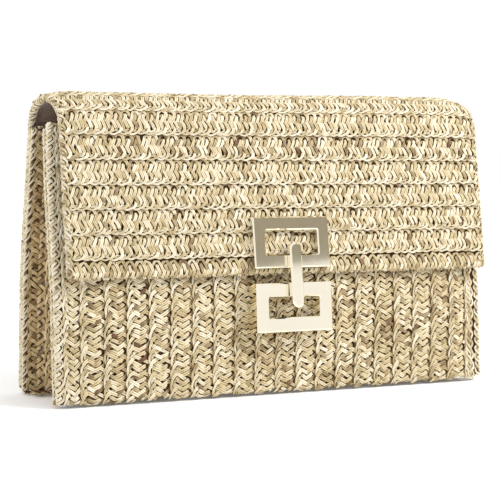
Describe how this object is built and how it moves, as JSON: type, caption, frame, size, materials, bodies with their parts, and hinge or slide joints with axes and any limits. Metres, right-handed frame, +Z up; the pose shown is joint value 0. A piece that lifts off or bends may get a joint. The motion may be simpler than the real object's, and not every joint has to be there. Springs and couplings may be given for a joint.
{
  "type": "clutch purse",
  "caption": "Woven straw clutch purse with a fold-over flap, folded side gussets, textile lining and a gold link clasp between two rectangular frames.",
  "frame": {"origin": "centre of the rectangle that the purse stands on", "axes": "+X along the purse, -Y the front with the clasp, +Z up"},
  "size_m": [0.27, 0.0738, 0.164],
  "materials": {
    "straw": "plaited natural straw braid, slight sheen",
    "lining": "plain taupe-brown lining cloth",
    "board": "stiffening board, unseen",
    "gold": "polished pale gold plating",
    "steel": "plain steel"
  },
  "bodies": {
    "body": {"back_panel": "straw", "back_board": "board", "back_lining": "lining", "slip_pocket": "lining", "base_panel": "straw", "base_board": "board", "base_lining": "lining", "gusset_left_rear": "straw", "gusset_left_rear_lining": "lining", "gusset_right_rear": "straw", "gusset_right_rear_lining": "lining"},
    "front": {"front_panel": "straw", "front_board": "board", "front_lining": "lining", "gusset_left_front": "straw", "gusset_left_front_lining": "lining", "gusset_right_front": "straw", "gusset_right_front_lining": "lining", "lower_frame": "gold", "lower_frame_screws": "steel", "lower_frame_washers": "steel", "catch_magnet": "steel"},
    "crown": {"flap_crown": "straw", "flap_crown_lining": "lining"},
    "flap": {"flap_panel": "straw", "flap_board": "board", "flap_lining": "lining", "upper_frame": "gold", "upper_frame_screws": "steel", "upper_frame_washers": "steel"},
    "link": {"clasp_link": "gold", "link_pin": "steel", "link_magnet": "steel"}
  },
  "joints": [
    {"name": "flap_lift", "type": "hinge", "parent": "body", "child": "crown", "pos_m": [0, 0.01801, 0.1478], "axis": [-1, 0, 0], "range_deg": [0, 100]},
    {"name": "flap_unfold", "type": "hinge", "parent": "crown", "child": "flap", "pos_m": [0, -0.01285, 0.15958], "axis": [-1, 0, 0], "range_deg": [0, 80]},
    {"name": "mouth_open", "type": "hinge", "parent": "body", "child": "front", "pos_m": [0, -0.03, 0], "axis": [1, 0, 0], "range_deg": [0, 4.5]},
    {"name": "link_swing", "type": "hinge", "parent": "flap", "child": "link", "pos_m": [0.001, -0.03609, 0.0821], "axis": [-1, 0, 0], "range_deg": [0, 90]}
  ],
  "couplings": [
    {"joint": "flap_unfold", "follows": "flap_lift", "ratio": 0.8},
    {"joint": "mouth_open", "follows": "flap_lift", "ratio": 0.045}
  ]
}
